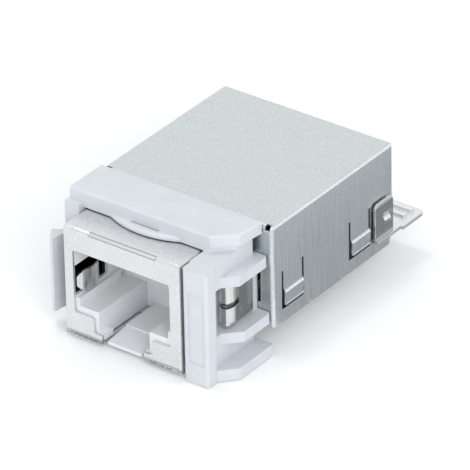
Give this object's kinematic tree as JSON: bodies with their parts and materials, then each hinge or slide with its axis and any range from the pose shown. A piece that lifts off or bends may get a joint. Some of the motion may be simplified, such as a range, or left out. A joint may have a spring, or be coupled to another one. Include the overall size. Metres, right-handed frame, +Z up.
{
  "type": "ethernet jack",
  "caption": "Shielded ethernet jack that snaps into a panel, with a metal housing and a sheet strain relief for the cable at the back.",
  "frame": {"origin": "centre of the plug opening, on the front face", "axes": "+Y runs back into the jack along its length, +Z up, +X to the right as the plug sees it"},
  "size_m": [0.0233, 0.0338, 0.0148],
  "materials": {
    "frame_plastic": "satin",
    "front_metal": "satin",
    "insert_plastic": "satin",
    "spring_metal": "polished",
    "cover_metal": "brushed",
    "tray_metal": "brushed",
    "relief_metal": "satin",
    "contact_metal": "gold plated",
    "board": "solder mask",
    "block_plastic": "satin",
    "terminal_metal": "tin plated",
    "guide_plastic": "satin"
  },
  "bodies": {
    "root": {"mounting_frame": "frame_plastic", "front_shield": "front_metal", "socket_insert": "insert_plastic", "plug_spring_left": "spring_metal", "plug_spring_right": "spring_metal", "panel_spring": "spring_metal", "rear_cover": "cover_metal", "base_tray": "tray_metal", "strain_relief": "relief_metal", "circuit_board": "board", "idc_block_front": "block_plastic", "idc_block_rear": "block_plastic", "wire_guide": "guide_plastic", "contact_1": "contact_metal", "idc_1": "terminal_metal", "contact_2": "contact_metal", "idc_2": "terminal_metal", "contact_3": "contact_metal", "idc_3": "terminal_metal", "contact_4": "contact_metal", "idc_4": "terminal_metal", "contact_5": "contact_metal", "idc_5": "terminal_metal", "contact_6": "contact_metal", "idc_6": "terminal_metal", "contact_7": "contact_metal", "idc_7": "terminal_metal", "contact_8": "contact_metal", "idc_8": "terminal_metal"}
  },
  "joints": []
}
